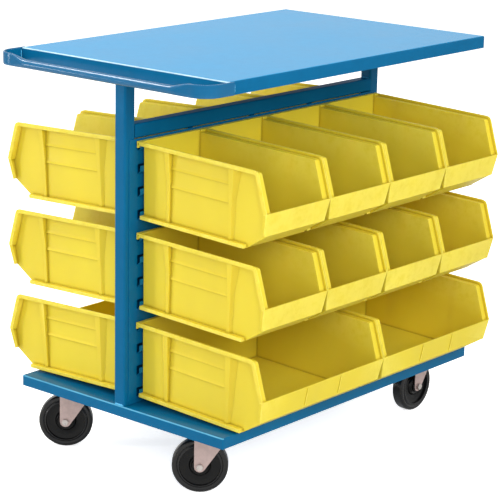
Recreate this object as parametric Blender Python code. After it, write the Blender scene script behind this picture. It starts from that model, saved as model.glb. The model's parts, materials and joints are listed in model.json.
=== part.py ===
"""Mobile bin cart: a wheeled steel frame with two louvered panels, hang-on hopper bins and a worktop.

Units are metres and +Z is up. +X runs along the cart, away from the push handle.
The origin is on the floor, under the centre of the cart's overall box.
Each bin lifts off its louver along Z, each swivel fork turns about its kingpin, and each wheel
turns on its axle sleeve.
"""

from math import cos, hypot, pi, radians, sin, tan, tau

import bmesh
import bpy
from mathutils import Matrix, Vector

# Gaps between pieces that touch on the real cart
SEAT_GAP = 0.0003
# How far a cutter runs past what it cuts, and how far a joined shape sinks into its carrier
OVERRUN = 0.02
PLANE_STEP = 0.0004
# Faces that a Boolean left in one plane are joined below this angle
FLAT_ANGLE = radians(0.05)

# Base deck and worktop, both folded from one sheet with their skirts down
SHEET = 0.0027
BASE_END_MARGIN = 0.02735
BASE_WIDTH = 0.627
DECK_SKIRT = 0.0255
TOP_WIDTH = 0.621
TOP_SKIRT = 0.029
TOP_HANDLE_END_SETBACK = 0.0051
TOP_FAR_END_OVERHANG = 0.0229
TOP_ABOVE_RAIL = 0.1344

# Posts and top rail, square tube
POST_SIDE = 0.0318
POST_WALL = 0.0025
POST_CORNER = 0.004
CORNER_STEPS = 2

# Cross arms under the worktop and caster channels under the deck, folded upward
ARM_WIDTH = 0.0254
CHANNEL_WIDTH = 0.1143
CHANNEL_SHEET = 0.003

# Louvered panels
PANEL_SHEET = 0.0016
PANEL_POST_LAP = 0.0195
PANEL_DECK_GAP = 0.0005
LOUVERS_PER_ROW = 4
LOUVER_ROWS = 12
LOUVER_DEPTH = 0.0203
LOUVER_STRAIGHT = 0.0127
LOUVER_WINDOW_ABOVE = 0.0025
LOUVER_SIDE_MARGIN = 0.0065

# Hopper bins
NARROW_WIDTH = 0.2138
BIN_GAP = 0.0015
BIN_COLUMNS = 4
BIN_ROW_SHIFT = 0.0076
BIN_DEPTH = 0.3747
BIN_HEIGHT = 0.175
BIN_WALL = 0.003
BIN_DRAFT = 0.001
BIN_TILT = radians(2.05)
BIN_ROW_CLEARANCE = 0.031
BIN_DECK_CLEARANCE = 0.0057
RIM_BELOW_RAIL = 0.0046
# The rim stands out from the side walls as a ledge with an upright band, on which the next bin can stack
RIM_OVERHANG = 0.016
RIM_HEIGHT = 0.009
RIM_CORNER_RADIUS = 0.012
RIM_CORNER_STEPS = 2
RIM_SHARE = 0.921
LIP_DROP_SHARE = 0.5
FRONT_FOOT_SHARE = 0.978
FRONT_FOOT_DROP_SHARE = 0.79
FRONT_TAPER = 0.007
BOTTOM_FRONT_SHARE = 0.832
HANGER_WEB = 0.0038
HOOK_THICKNESS = 0.003
HOOK_DEPTH = 0.0107
HOOK_CLEARANCE = 0.0005
HANGER_STANDOFF = 0.0035
BACK_CLEARANCE = 0.001
LEDGE_HEIGHT = 0.008
LEDGE_INSET = 0.004
RIB_EDGE_SHARES = (0.2455, 0.697)
RIB_TOP_WIDTH = 0.015
RIB_WIDTH = 0.0085
RIB_TOP_PROUD = 0.0124
RIB_KNEE_PROUD = 0.0065
RIB_FOOT_PROUD = 0.005
RIB_KNEE_SHARE = 0.44
CROSS_RIB_DROP_SHARES = (0.27, 0.5)
CROSS_RIB_RISE = 0.011
CROSS_RIB_UNDERCUT = 0.0012
CROSS_RIB_PROUD = 0.0036
LABEL_WIDTH = 0.118
LABEL_RIB_WIDTH = 0.0025
LABEL_RIB_PROUD = 0.0016

# Push handle, round tube with flattened ends
HANDLE_RADIUS = 0.0095
HANDLE_REACH = 0.0737
HANDLE_DROP = 0.019
HANDLE_LAP = 0.012
HANDLE_BEND = 0.042
HANDLE_TAPER = 0.058
HANDLE_FLAT_HALF_HEIGHT = 0.0143
HANDLE_FLAT_HALF_THICKNESS = 0.0024
HANDLE_SIDES = 12
HANDLE_BEND_STEPS = 4
HANDLE_TAPER_STEPS = 3

# Casters
CASTER_HEIGHT = 0.1524
WHEEL_RADIUS = 0.0635
WHEEL_WIDTH = 0.0318
WHEEL_SIDES = 20
ROUND_SIDES = 12
RACE_SIDES = 16
SWIVEL_INSET_X = 0.1067
SWIVEL_INSET_Y = 0.1001
SWIVEL_TRAIL = 0.0445
SWIVEL_TURN = radians(130)
RIGID_INSET_X = 0.0579
RIGID_INSET_Y = 0.1180
RIGID_TURN = radians(180)
PLATE_LENGTH = 0.1016
PLATE_WIDTH = 0.0953
PLATE_SHEET = 0.003
RIGID_PLATE_SHIFT = 0.004
FORK_SHEET = 0.0025
FORK_SIDE_CLEARANCE = 0.0025
LEG_END_RADIUS = 0.0127
LEG_REACH = 0.0485
LEG_SLANT = radians(34.6)
LEG_ARC_STEPS = 5
CROWN_RADIUS = 0.0292
RACE_OUTER = 0.027
RACE_INNER = 0.016
RACE_HEIGHT = 0.0085
RACE_GROOVE = 0.0025
KINGPIN_RADIUS = 0.0065
KINGPIN_HEAD_RADIUS = 0.012
KINGPIN_HEAD_HEIGHT = 0.005
AXLE_RADIUS = 0.0048
AXLE_END = 0.0085
BUSH_RADIUS = 0.0076
NUT_RADIUS = 0.0083
NUT_HEIGHT = 0.0065
HUB_RADIUS = 0.0165
HUB_CLEARANCE = 0.001
WEB_RECESS = 0.0085
RIM_INNER_RADIUS = 0.0485
RIM_STEP = 0.002
TREAD_SHOULDER = 0.0075

# Sizes that follow from those above
BIN_PITCH = NARROW_WIDTH + BIN_GAP
WIDE_WIDTH = 2 * NARROW_WIDTH + BIN_GAP
ROW_LENGTH = BIN_COLUMNS * BIN_PITCH - BIN_GAP
ROW_STEP = BIN_HEIGHT + BIN_ROW_CLEARANCE
LOUVER_PITCH = ROW_STEP / LOUVERS_PER_ROW
BASE_LENGTH = ROW_LENGTH + 2 * BASE_END_MARGIN
DECK_TOP = CASTER_HEIGHT + DECK_SKIRT
BIN_FRONT_SAG = BOTTOM_FRONT_SHARE * BIN_DEPTH * sin(BIN_TILT)
LOW_RIM = DECK_TOP + BIN_DECK_CLEARANCE + BIN_HEIGHT * cos(BIN_TILT) + BIN_FRONT_SAG
RIM_LEVELS = (LOW_RIM, LOW_RIM + ROW_STEP, LOW_RIM + 2 * ROW_STEP)
RAIL_BOTTOM = RIM_LEVELS[-1] + RIM_BELOW_RAIL
TOP_FACE = RAIL_BOTTOM + POST_SIDE + TOP_ABOVE_RAIL
POST_X = BASE_LENGTH / 2 - SHEET - SEAT_GAP - POST_SIDE / 2
TOP_HANDLE_END = -BASE_LENGTH / 2 + TOP_HANDLE_END_SETBACK
TOP_FAR_END = BASE_LENGTH / 2 + TOP_FAR_END_OVERHANG
PANEL_FACE = POST_SIDE / 2 + SEAT_GAP + PANEL_SHEET
HANG_Y = PANEL_FACE + HANGER_STANDOFF
LOUVER_INNER = HANGER_STANDOFF + HOOK_THICKNESS + HOOK_CLEARANCE
LOUVER_OUTER = LOUVER_INNER + PANEL_SHEET
LOUVER_SLOPE = (LOUVER_DEPTH - LOUVER_STRAIGHT) / LOUVER_OUTER
LOUVER_SILL = LOUVER_DEPTH - PANEL_SHEET * hypot(1, LOUVER_SLOPE)
LOUVER_WIDTH = NARROW_WIDTH - 2 * LOUVER_SIDE_MARGIN
LOUVER_LEAN = (LOUVER_OUTER - HANGER_STANDOFF) * sin(BIN_TILT)
LOUVER_EDGE_DROP = HANGER_WEB * cos(BIN_TILT) + LOUVER_LEAN + SEAT_GAP
# A bin's back wall is upright when it hangs at its tilt, just clear of the louvers that its feet rest on
HANGER_REACH = (LOUVER_OUTER - HANGER_STANDOFF + BACK_CLEARANCE) / cos(BIN_TILT)
BACK_DRAFT = BIN_HEIGHT * tan(BIN_TILT)
FOOT_BACK = (LOUVER_OUTER - HANGER_STANDOFF + SEAT_GAP + BIN_HEIGHT * sin(BIN_TILT)) / cos(BIN_TILT)
LIP_LEVEL = -LIP_DROP_SHARE * BIN_HEIGHT
FRONT_FOOT = (FRONT_FOOT_SHARE * BIN_DEPTH, -FRONT_FOOT_DROP_SHARE * BIN_HEIGHT)
BOTTOM_FRONT = (BOTTOM_FRONT_SHARE * BIN_DEPTH, -BIN_HEIGHT)
FORK_INNER_HALF = WHEEL_WIDTH / 2 + FORK_SIDE_CLEARANCE
FORK_OUTER_HALF = FORK_INNER_HALF + FORK_SHEET
PLATE_BOTTOM = CASTER_HEIGHT - SEAT_GAP - PLATE_SHEET
CROWN_TOP = PLATE_BOTTOM - 2 * SEAT_GAP - RACE_HEIGHT
HANDLE_BAR_X = TOP_HANDLE_END - HANDLE_REACH
HANDLE_LEG_Y = TOP_WIDTH / 2 + SEAT_GAP + HANDLE_FLAT_HALF_THICKNESS
CART_BACK = HANDLE_BAR_X - HANDLE_RADIUS
CENTRE_SHIFT = -(CART_BACK + TOP_FAR_END) / 2


def clear_scene():
    for old in list(bpy.data.objects):
        bpy.data.objects.remove(old, do_unlink=True)


def make_material(name, colour, roughness, metallic):
    material = bpy.data.materials.new(name)
    material.use_nodes = True
    shader = material.node_tree.nodes["Principled BSDF"]
    shader.inputs["Base Color"].default_value = (*colour, 1.0)
    shader.inputs["Roughness"].default_value = roughness
    shader.inputs["Metallic"].default_value = metallic
    material.diffuse_color = (*colour, 1.0)
    return material


def finished_mesh(name, bm):
    """The mesh of a closed bmesh, with its faces turned outward and its round parts smooth."""
    bmesh.ops.recalc_face_normals(bm, faces=bm.faces)
    mesh = bpy.data.meshes.new(name)
    bm.to_mesh(mesh)
    bm.free()
    mesh.shade_smooth()
    mesh.set_sharp_from_angle(angle=radians(35))
    return mesh


def add_object(name, mesh, material=None, parent=None, location=(0, 0, 0), rotation=(0, 0, 0)):
    thing = bpy.data.objects.new(name, mesh)
    bpy.context.collection.objects.link(thing)
    thing.location = location
    thing.rotation_euler = rotation
    thing.parent = parent
    if material and not mesh.materials:
        mesh.materials.append(material)
    return thing


def add_empty(name, parent=None, location=(0, 0, 0), rotation=(0, 0, 0)):
    return add_object(name, None, None, parent, location, rotation)


def along_x(u, v, w):
    """An outline in the YZ plane, run along X."""
    return Vector((w, u, v))


def along_y(u, v, w):
    """An outline in the XZ plane, run along Y."""
    return Vector((u, w, v))


def along_z(u, v, w):
    """An outline in the XY plane, run along Z."""
    return Vector((u, v, w))


def add_prism(bm, outline, start, end, place):
    """A closed prism from start to end over an outline of (u, v) points."""
    near = [bm.verts.new(place(u, v, start)) for u, v in outline]
    far = [bm.verts.new(place(u, v, end)) for u, v in outline]
    count = len(outline)
    bm.faces.new(near)
    bm.faces.new(list(reversed(far)))
    for i in range(count):
        j = (i + 1) % count
        bm.faces.new((near[j], near[i], far[i], far[j]))


def prism_mesh(name, outline, start, end, place):
    bm = bmesh.new()
    add_prism(bm, outline, start, end, place)
    return finished_mesh(name, bm)


def box_outline(low_u, low_v, high_u, high_v):
    return [(low_u, low_v), (high_u, low_v), (high_u, high_v), (low_u, high_v)]


def rounded_square(side, radius, steps):
    """A square outline about the origin with arcs at its corners."""
    centre = side / 2 - radius
    points = []
    for corner in range(4):
        middle_angle = pi / 4 + corner * pi / 2
        across = centre if cos(middle_angle) > 0 else -centre
        upward = centre if sin(middle_angle) > 0 else -centre
        for step in range(steps + 1):
            angle = corner * pi / 2 + step / steps * pi / 2
            points.append((across + radius * cos(angle), upward + radius * sin(angle)))
    return points


def tube_mesh(name, outer, inner, start, end, place):
    """An open-ended tube whose outer and inner outlines have as many points."""
    bm = bmesh.new()
    rings = []
    for outline in (outer, inner):
        for level in (start, end):
            rings.append([bm.verts.new(place(u, v, level)) for u, v in outline])
    outer_start, outer_end, inner_start, inner_end = rings
    count = len(outer)
    for i in range(count):
        j = (i + 1) % count
        bm.faces.new((outer_start[i], outer_start[j], outer_end[j], outer_end[i]))
        bm.faces.new((inner_start[j], inner_start[i], inner_end[i], inner_end[j]))
        bm.faces.new((outer_start[j], outer_start[i], inner_start[i], inner_start[j]))
        bm.faces.new((outer_end[i], outer_end[j], inner_end[j], inner_end[i]))
    return finished_mesh(name, bm)


def turned_mesh(name, profile, sides, axis, phase=0.0, solid=False):
    """A profile of (distance along the axis, radius) points turned about the local Y or Z axis.

    A ring's profile is a closed loop off the axis, and a solid's starts and ends on the axis.
    """
    bm = bmesh.new()
    points = []
    for along, radius in profile:
        across = Vector((radius * cos(phase), 0, radius * sin(phase)))
        place = across + Vector((0, along, 0))
        if axis == "Z":
            place = Vector((radius * cos(phase), radius * sin(phase), along))
        points.append(bm.verts.new(place))
    edges = [bm.edges.new(pair) for pair in zip(points, points[1:])]
    if not solid:
        edges.append(bm.edges.new((points[-1], points[0])))
    turn = Vector((0, 1, 0)) if axis == "Y" else Vector((0, 0, 1))
    bmesh.ops.spin(
        bm, geom=points + edges, cent=(0, 0, 0), axis=turn, angle=tau, steps=sides, use_merge=True
    )
    bmesh.ops.remove_doubles(bm, verts=bm.verts, dist=PLANE_STEP / 100)
    return finished_mesh(name, bm)


def with_booleans(name, mesh, changes):
    """The mesh after each (operation, other mesh) has been applied in turn."""
    base = add_object(name + "_base", mesh)
    helpers = [base]
    for operation, other in changes:
        helper = add_object(name + "_helper", other)
        helper.hide_render = True
        helpers.append(helper)
        modifier = base.modifiers.new(operation, "BOOLEAN")
        modifier.operation = operation
        modifier.solver = "EXACT"
        modifier.object = helper
    bpy.context.view_layer.update()
    graph = bpy.context.evaluated_depsgraph_get()
    result = bpy.data.meshes.new_from_object(base.evaluated_get(graph))
    for helper in helpers:
        bpy.data.objects.remove(helper, do_unlink=True)
    bm = bmesh.new()
    bm.from_mesh(result)
    bpy.data.meshes.remove(result)
    bmesh.ops.dissolve_limit(bm, angle_limit=FLAT_ANGLE, verts=bm.verts, edges=bm.edges)
    return finished_mesh(name, bm)


def folded_pan(name, length, width, height, sheet):
    """A sheet with all four edges folded down, centred in plan, from z = 0 to its height."""
    bm = bmesh.new()
    plan = box_outline(-length / 2, -width / 2, length / 2, width / 2)
    add_prism(bm, plan, 0, height, along_z)
    bmesh.ops.recalc_face_normals(bm, faces=bm.faces)
    mouth = min(bm.faces, key=lambda face: face.normal.z)
    bmesh.ops.inset_individual(bm, faces=[mouth], thickness=sheet)
    floor = bmesh.ops.extrude_discrete_faces(bm, faces=[mouth])["faces"][0]
    bmesh.ops.translate(bm, verts=floor.verts, vec=(0, 0, height - sheet))
    return finished_mesh(name, bm)


def channel_mesh(name, width, height, half_length):
    """A channel along Y whose sides stand up from its web."""
    outline = [
        (-width / 2, 0),
        (width / 2, 0),
        (width / 2, height),
        (width / 2 - CHANNEL_SHEET, height),
        (width / 2 - CHANNEL_SHEET, CHANNEL_SHEET),
        (-width / 2 + CHANNEL_SHEET, CHANNEL_SHEET),
        (-width / 2 + CHANNEL_SHEET, height),
        (-width / 2, height),
    ]
    return prism_mesh(name, outline, -half_length, half_length, along_y)


def build_frame(cart, paint):
    """The welded steelwork: base deck, caster channels, posts, rail, cross arms and worktop."""
    base = folded_pan("base_deck", BASE_LENGTH, BASE_WIDTH, DECK_SKIRT, SHEET)
    add_object("base_deck", base, paint, cart, (0, 0, CASTER_HEIGHT))
    channel_height = DECK_SKIRT - SHEET - SEAT_GAP
    channel_half = BASE_WIDTH / 2 - SHEET - SEAT_GAP
    channel = channel_mesh("caster_channel", CHANNEL_WIDTH, channel_height, channel_half)
    swivel_x = -BASE_LENGTH / 2 + SWIVEL_INSET_X
    rigid_x = BASE_LENGTH / 2 - SHEET - SEAT_GAP - CHANNEL_WIDTH / 2
    add_object("caster_channel_handle_end", channel, paint, cart, (swivel_x, 0, CASTER_HEIGHT))
    add_object("caster_channel_far_end", channel, paint, cart, (rigid_x, 0, CASTER_HEIGHT))

    outer = rounded_square(POST_SIDE, POST_CORNER, CORNER_STEPS)
    inner = rounded_square(POST_SIDE - 2 * POST_WALL, POST_CORNER - POST_WALL, CORNER_STEPS)
    post_top = TOP_FACE - TOP_SKIRT - SEAT_GAP
    post = tube_mesh("post", outer, inner, DECK_TOP + SEAT_GAP, post_top, along_z)
    add_object("post_handle_end", post, paint, cart, (-POST_X, 0, 0))
    add_object("post_far_end", post, paint, cart, (POST_X, 0, 0))

    rail_half = POST_X - POST_SIDE / 2 - SEAT_GAP
    rail = tube_mesh("top_rail", outer, inner, -rail_half, rail_half, along_x)
    add_object("top_rail", rail, paint, cart, (0, 0, RAIL_BOTTOM + POST_SIDE / 2))

    top_length = TOP_FAR_END - TOP_HANDLE_END
    top_middle = (TOP_FAR_END + TOP_HANDLE_END) / 2
    top = folded_pan("worktop", top_length, TOP_WIDTH, TOP_SKIRT, SHEET)
    add_object("worktop", top, paint, cart, (top_middle, 0, TOP_FACE - TOP_SKIRT))

    arm_height = TOP_SKIRT - SHEET - SEAT_GAP
    arm_half = TOP_WIDTH / 2 - SHEET - SEAT_GAP
    arm = channel_mesh("cross_arm", ARM_WIDTH, arm_height, arm_half)
    arm_level = TOP_FACE - TOP_SKIRT
    near_arm_x = TOP_HANDLE_END + SHEET + SEAT_GAP + ARM_WIDTH / 2
    add_object("cross_arm_handle_end", arm, paint, cart, (near_arm_x, 0, arm_level))
    add_object("cross_arm_far_end", arm, paint, cart, (POST_X, 0, arm_level))


def louver_outline():
    """A louver lanced out of its panel: distance out from the panel's face, height from its edge."""
    return [
        (LOUVER_INNER, 0),
        (LOUVER_OUTER, 0),
        (LOUVER_OUTER, -LOUVER_STRAIGHT),
        (0, -LOUVER_DEPTH),
        (0, -LOUVER_SILL),
        (LOUVER_INNER, LOUVER_SLOPE * LOUVER_INNER - LOUVER_SILL),
    ]


def louvered_panel():
    """One panel at the -Y side of the posts, its louvers standing out towards -Y."""
    half_length = POST_X - POST_SIDE / 2 + PANEL_POST_LAP
    bottom = DECK_TOP + PANEL_DECK_GAP
    top = RAIL_BOTTOM - PANEL_DECK_GAP
    back = -(POST_SIDE / 2 + SEAT_GAP)
    sheet = box_outline(-half_length, bottom, half_length, top)
    plate = prism_mesh("panel", sheet, back, -PANEL_FACE, along_y)
    first_edge = RIM_LEVELS[-1] - LOUVER_EDGE_DROP
    windows = bmesh.new()
    louvers = bmesh.new()
    for row in range(LOUVER_ROWS):
        edge = first_edge - row * LOUVER_PITCH
        for column in range(BIN_COLUMNS):
            middle = BIN_ROW_SHIFT + (column - (BIN_COLUMNS - 1) / 2) * BIN_PITCH
            low_x = middle - LOUVER_WIDTH / 2
            high_x = middle + LOUVER_WIDTH / 2
            hole = box_outline(low_x, edge - LOUVER_SILL, high_x, edge + LOUVER_WINDOW_ABOVE)
            add_prism(windows, hole, back + OVERRUN, -PANEL_FACE - OVERRUN, along_y)
            lip = [(-PANEL_FACE - out, edge + height) for out, height in louver_outline()]
            add_prism(louvers, lip, low_x, high_x, along_x)
    changes = [
        ("DIFFERENCE", finished_mesh("windows", windows)),
        ("UNION", finished_mesh("louvers", louvers)),
    ]
    return with_booleans("louvered_panel", plate, changes)


def build_panels(cart, paint):
    panel = louvered_panel()
    add_object("louver_panel_front", panel, paint, cart)
    turned_back = panel.copy()
    turned_back.name = "louvered_panel_back"
    turned_back.transform(Matrix.Scale(-1, 4, (0, 1, 0)))
    turned_back.flip_normals()
    add_object("louver_panel_back", turned_back, paint, cart)


def inset_outline(outline, distance):
    """A convex outline of (u, v) points, run clockwise, with every edge moved inward."""
    lines = []
    count = len(outline)
    for i in range(count):
        a = Vector(outline[i])
        b = Vector(outline[(i + 1) % count])
        run = (b - a).normalized()
        inward = Vector((run.y, -run.x)) * distance
        lines.append((a + inward, run))
    corners = []
    for i in range(count):
        p, r = lines[i - 1]
        q, s = lines[i]
        cross = r.x * s.y - r.y * s.x
        t = ((q.x - p.x) * s.y - (q.y - p.y) * s.x) / cross
        corners.append(p + r * t)
    return corners


def rounded_corner(before, corner, after, radius, steps):
    """The arc that rounds a corner between two neighbouring points."""
    corner = Vector(corner)
    back = (Vector(before) - corner).normalized()
    ahead = (Vector(after) - corner).normalized()
    half_angle = back.angle(ahead) / 2
    centre = corner + (back + ahead).normalized() * radius / sin(half_angle)
    start = (corner + back * radius / tan(half_angle) - centre).normalized()
    end = (corner + ahead * radius / tan(half_angle) - centre).normalized()
    points = []
    for step in range(steps + 1):
        points.append(tuple(centre + start.slerp(end, step / steps).normalized() * radius))
    return points


def add_bin_prism(bm, outline, half_top, draft):
    """A prism over (depth, height) points, narrower by the draft at the bin's foot."""
    sides = []
    for side in (-1, 1):
        sides.append([
            bm.verts.new((side * (half_top + draft * height / BIN_HEIGHT), -depth, height))
            for depth, height in outline
        ])
    left, right = sides
    count = len(outline)
    bm.faces.new(left)
    bm.faces.new(list(reversed(right)))
    for i in range(count):
        j = (i + 1) % count
        bm.faces.new((left[j], left[i], right[i], right[j]))


def bin_prism(name, outline, half_top, draft=0.0):
    bm = bmesh.new()
    add_bin_prism(bm, outline, half_top, draft)
    return finished_mesh(name, bm)


def add_strip(bm, outline, side, inner, outer, inner_lean, outer_lean):
    """A strip over (depth, height) points between two half widths that lean in below the lip."""
    rings = []
    for half, lean in ((inner, inner_lean), (outer, outer_lean)):
        rings.append([
            bm.verts.new((side * (half + lean * (height - LIP_LEVEL)), -depth, height))
            for depth, height in outline
        ])
    near, far = rings
    count = len(outline)
    bm.faces.new(near)
    bm.faces.new(list(reversed(far)))
    for i in range(count):
        j = (i + 1) % count
        bm.faces.new((near[j], near[i], far[i], far[j]))


def side_strip(name, outline, inner, outer, inner_lean=0.0, outer_lean=0.0):
    """The same strip on both sides of the bin."""
    strips = bmesh.new()
    for side in (-1, 1):
        add_strip(strips, outline, side, inner, outer, inner_lean, outer_lean)
    return finished_mesh(name, strips)


def add_gusset(bm, side, sink, sections, edge, outward):
    """One side rib: an upright edge, a face that narrows downward and a slanted flank beyond it."""
    rings = []
    for height, half, width in sections:
        flank = half - sink
        ring = [(sink, 0), (half, 0), (half, width), (sink, width + flank)]
        rings.append([
            bm.verts.new((side * across, -(edge + outward * along), height)) for across, along in ring
        ])
    bm.faces.new(rings[0])
    bm.faces.new(list(reversed(rings[-1])))
    for ring, lower in zip(rings, rings[1:]):
        for i in range(len(ring)):
            j = (i + 1) % len(ring)
            bm.faces.new((ring[j], ring[i], lower[i], lower[j]))


def gussets(name, half_top, half_bottom, foot_level, knee):
    """The two ribs on each side of the bin, which carry the rim."""
    sink = half_bottom - BIN_WALL / 2
    sections = [
        (BIN_WALL / 2 - RIM_HEIGHT, half_top + RIB_TOP_PROUD, RIB_TOP_WIDTH),
        (foot_level, half_bottom + RIB_FOOT_PROUD, RIB_WIDTH),
    ]
    if knee:
        wall = half_top - BIN_DRAFT * RIB_KNEE_SHARE
        sections.insert(1, (-RIB_KNEE_SHARE * BIN_HEIGHT, wall + RIB_KNEE_PROUD, RIB_WIDTH))
    ribs = bmesh.new()
    for side in (-1, 1):
        for share, outward in zip(RIB_EDGE_SHARES, (-1, 1)):
            add_gusset(ribs, side, sink, sections, share * BIN_DEPTH, outward)
    return finished_mesh(name, ribs)


def cross_rib(name, half_top, share):
    """The rungs between the two ribs of each side, each sloping out to a sharp lower edge."""
    level = -share * BIN_HEIGHT
    wall = half_top - BIN_DRAFT * share
    section = [
        (wall - BIN_WALL / 2, level - CROSS_RIB_UNDERCUT),
        (wall + CROSS_RIB_PROUD, level),
        (wall - BIN_WALL / 2, level + CROSS_RIB_RISE),
    ]
    rungs = bmesh.new()
    for side in (-1, 1):
        points = [(side * across, height) for across, height in section]
        start, end = [(place * BIN_DEPTH) for place in RIB_EDGE_SHARES]
        add_prism(rungs, points, -start + RIB_WIDTH / 2, -end - RIB_WIDTH / 2, along_y)
    return finished_mesh(name, rungs)


def cut_level(start, end, level):
    """The point at a level on the line from start to end."""
    share = (level - start[1]) / (end[1] - start[1])
    return (start[0] + share * (end[0] - start[0]), level)


def lowered(point, drop):
    return (point[0], point[1] - drop)


def bin_mesh(name, width, knee, labelled):
    """A hopper bin, its hanger's back edge at the origin and its mouth towards -Y."""
    half_top = width / 2 - RIM_OVERHANG
    half_bottom = half_top - BIN_DRAFT
    lip = (BIN_DEPTH, LIP_LEVEL)
    rim_corner = rounded_corner(
        (HANGER_REACH, 0), (RIM_SHARE * BIN_DEPTH, 0), lip, RIM_CORNER_RADIUS, RIM_CORNER_STEPS
    )
    outline = [(HANGER_REACH, 0)] + rim_corner
    lip_index = len(outline)
    outline += [lip, FRONT_FOOT, BOTTOM_FRONT, (HANGER_REACH + BACK_DRAFT, -BIN_HEIGHT)]
    body = bin_prism(name + "_body", outline, half_top, BIN_DRAFT)

    band = inset_outline(outline, RIM_HEIGHT)
    rim = outline[:lip_index + 1] + [tuple(point) for point in reversed(band[1:lip_index + 1])]
    rim.append((HANGER_REACH, -RIM_HEIGHT))
    rim_sink = half_bottom - BIN_WALL / 2

    hanger_front = HANGER_REACH + BIN_WALL / 2
    hook_foot = -HANGER_WEB - HOOK_DEPTH
    hanger = [
        (0, 0),
        (hanger_front, 0),
        (hanger_front, -HANGER_WEB),
        (HOOK_THICKNESS, -HANGER_WEB),
        (HOOK_THICKNESS, hook_foot),
        (0, hook_foot),
    ]

    inner = [tuple(point) for point in inset_outline(outline, BIN_WALL)]
    lean = FRONT_TAPER / (LIP_LEVEL - FRONT_FOOT[1])
    middle = [tuple(point) for point in inset_outline(outline, BIN_WALL / 2)]
    lip_back, foot_back = [tuple(point) for point in band[lip_index:lip_index + 2]]
    flange = [lip, FRONT_FOOT, inner[lip_index + 1]]
    flange += [lowered(inner[lip_index], BIN_WALL), lowered(lip_back, BIN_WALL), lip_back]
    edge_band = [
        lowered(middle[lip_index], BIN_WALL / 2),
        middle[lip_index + 1],
        foot_back,
        lowered(lip_back, BIN_WALL / 2),
    ]
    half = width / 2

    ledge_top = -BIN_HEIGHT + LEDGE_HEIGHT
    ledge = box_outline(FOOT_BACK, -BIN_HEIGHT, BOTTOM_FRONT[0] - SEAT_GAP, ledge_top)
    changes = [
        ("UNION", side_strip(name + "_rim", rim, rim_sink, half)),
        ("UNION", bin_prism(name + "_hanger", hanger, half)),
        ("UNION", side_strip(name + "_flange", flange, rim_sink, half, 0.0, lean)),
        ("UNION", side_strip(name + "_band", edge_band, half - BIN_WALL, half - SEAT_GAP, lean, lean)),
        ("UNION", side_strip(name + "_ledge", ledge, rim_sink, half - LEDGE_INSET)),
        ("UNION", gussets(name + "_ribs", half_top, half_bottom, ledge_top - LEDGE_HEIGHT / 2, knee)),
    ]
    for share in CROSS_RIB_DROP_SHARES:
        changes.append(("UNION", cross_rib(name + "_cross_rib", half_top, share)))
    if labelled:
        changes.append(("UNION", label_ribs(name + "_label", lip)))

    above = (BIN_DEPTH + OVERRUN, OVERRUN)
    before = (BIN_DEPTH + OVERRUN, LIP_LEVEL)
    step = [tuple(point) for point in inset_outline(outline, RIM_HEIGHT - BIN_WALL)]
    step_start = inner[0][0] + BIN_WALL
    step_cut = [(step_start, OVERRUN), above, before]
    step_cut.append(cut_level(step[lip_index - 1], step[lip_index], LIP_LEVEL))
    step_cut += list(reversed(step[1:lip_index]))
    step_cut.append((step_start, BIN_WALL - RIM_HEIGHT))
    cavity = [(inner[0][0], OVERRUN), above, before]
    cavity.append(cut_level(inner[lip_index], inner[lip_index + 1], LIP_LEVEL))
    cavity += inner[lip_index + 1:]
    cavity.append(inner[0])
    changes.append(("DIFFERENCE", bin_prism(name + "_step", step_cut, half - BIN_WALL)))
    changes.append(("DIFFERENCE", bin_prism(name + "_cavity", cavity, half_top - BIN_WALL, BIN_DRAFT)))
    return with_booleans(name, body, changes)


def label_ribs(name, lip):
    """Two upright ribs on a wide bin's front wall, which hold a label between them."""
    ribs = bmesh.new()
    margin = RIM_HEIGHT / 2
    top = cut_level(lip, FRONT_FOOT, LIP_LEVEL - margin)
    foot = cut_level(lip, FRONT_FOOT, FRONT_FOOT[1] + margin)
    front = [
        (-top[0] + BIN_WALL / 2, top[1]),
        (-top[0] - LABEL_RIB_PROUD, top[1]),
        (-foot[0] - LABEL_RIB_PROUD, foot[1]),
        (-foot[0] + BIN_WALL / 2, foot[1]),
    ]
    for side in (-1, 1):
        middle = side * LABEL_WIDTH / 2
        add_prism(ribs, front, middle - LABEL_RIB_WIDTH / 2, middle + LABEL_RIB_WIDTH / 2, along_x)
    return finished_mesh(name, ribs)


def build_bins(cart, plastic):
    """Three rows of bins on each side: wide ones below, narrow ones in the two rows above."""
    narrow = bin_mesh("narrow_bin", NARROW_WIDTH, True, False)
    wide = bin_mesh("wide_bin", WIDE_WIDTH, False, True)
    rows = (("low", wide, BIN_COLUMNS // 2), ("middle", narrow, BIN_COLUMNS), ("top", narrow, BIN_COLUMNS))
    for side_name, side, turn in (("front", -1, 0), ("back", 1, pi)):
        for (row_name, mesh, count), rim_level in zip(rows, RIM_LEVELS):
            pitch = BIN_COLUMNS * BIN_PITCH / count
            for column in range(count):
                middle = BIN_ROW_SHIFT + (column - (count - 1) / 2) * pitch
                name = f"bin_{side_name}_{row_name}_{column + 1}"
                place = (middle, side * HANG_Y, rim_level)
                add_object(name, mesh, plastic, cart, place, (BIN_TILT, 0, turn))


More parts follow.
